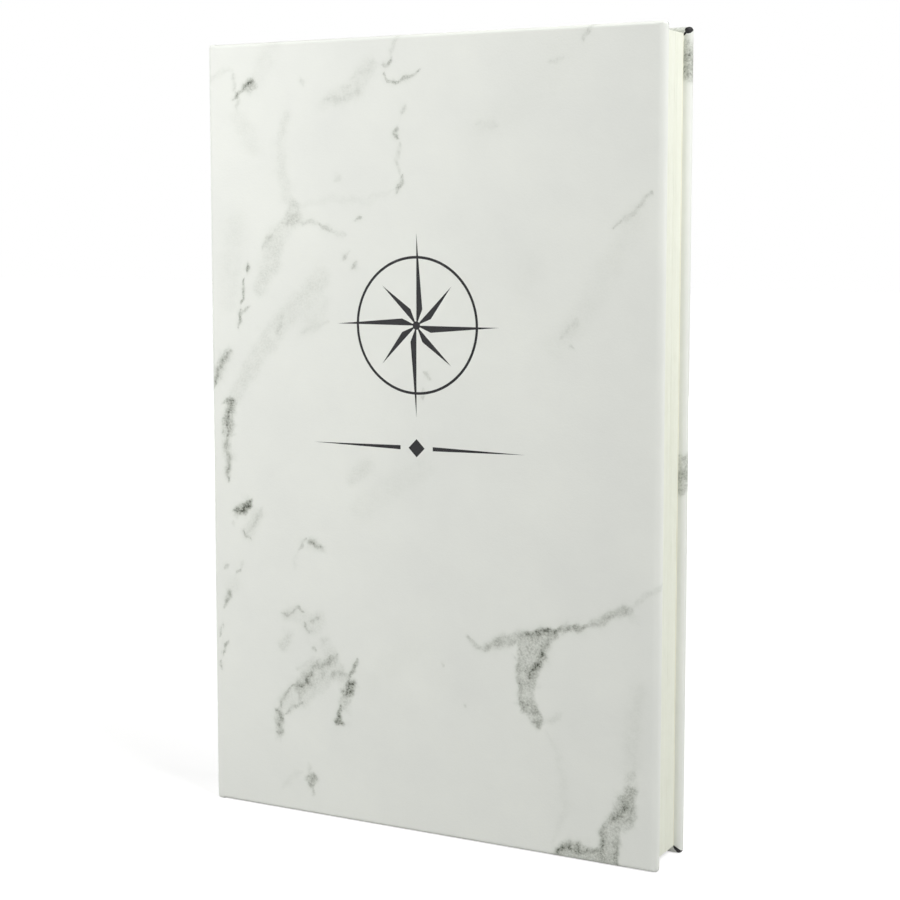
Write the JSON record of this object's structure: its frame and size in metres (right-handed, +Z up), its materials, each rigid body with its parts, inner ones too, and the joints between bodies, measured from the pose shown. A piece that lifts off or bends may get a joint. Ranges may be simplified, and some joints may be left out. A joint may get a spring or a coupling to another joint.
{
  "type": "faux leather journal",
  "caption": "Hardcover journal in white marble-print faux leather with an engraved rose, standing closed; both covers hinge at the flat spine.",
  "frame": {"origin": "middle of the foot: centre of the box in X and Y, on the plane that the covers' tail edges stand on", "axes": "+Z up along the height of the book, +X from the spine to the fore edge, -Y is the way the front cover faces"},
  "size_m": [0.1334, 0.0194, 0.2095],
  "materials": {
    "faux_leather": "white marble print, satin, over a black core",
    "pages": "cream, uncoated, cut edges",
    "endpaper": "cream, uncoated",
    "greyboard": "raw",
    "lining": "open weave, sized",
    "band": "woven"
  },
  "bodies": {
    "block": {"text_block": "pages", "front_flyleaf": "endpaper", "back_flyleaf": "endpaper", "spine_lining": "lining", "head_band": "band", "tail_band": "band", "spine_board": "greyboard", "spine_skin": "faux_leather"},
    "front_cover": {"front_board": "greyboard", "front_skin": "faux_leather", "front_pastedown": "endpaper"},
    "back_cover": {"back_board": "greyboard", "back_skin": "faux_leather", "back_pastedown": "endpaper"}
  },
  "joints": [
    {"name": "front_cover_hinge", "type": "hinge", "parent": "block", "child": "front_cover", "pos_m": [-0.06624, -0.00921, 0.10477], "axis": [0, 0, -1], "range_deg": [0, 175]},
    {"name": "back_cover_hinge", "type": "hinge", "parent": "block", "child": "back_cover", "pos_m": [-0.06624, 0.00921, 0.10477], "axis": [0, 0, 1], "range_deg": [0, 175]}
  ]
}
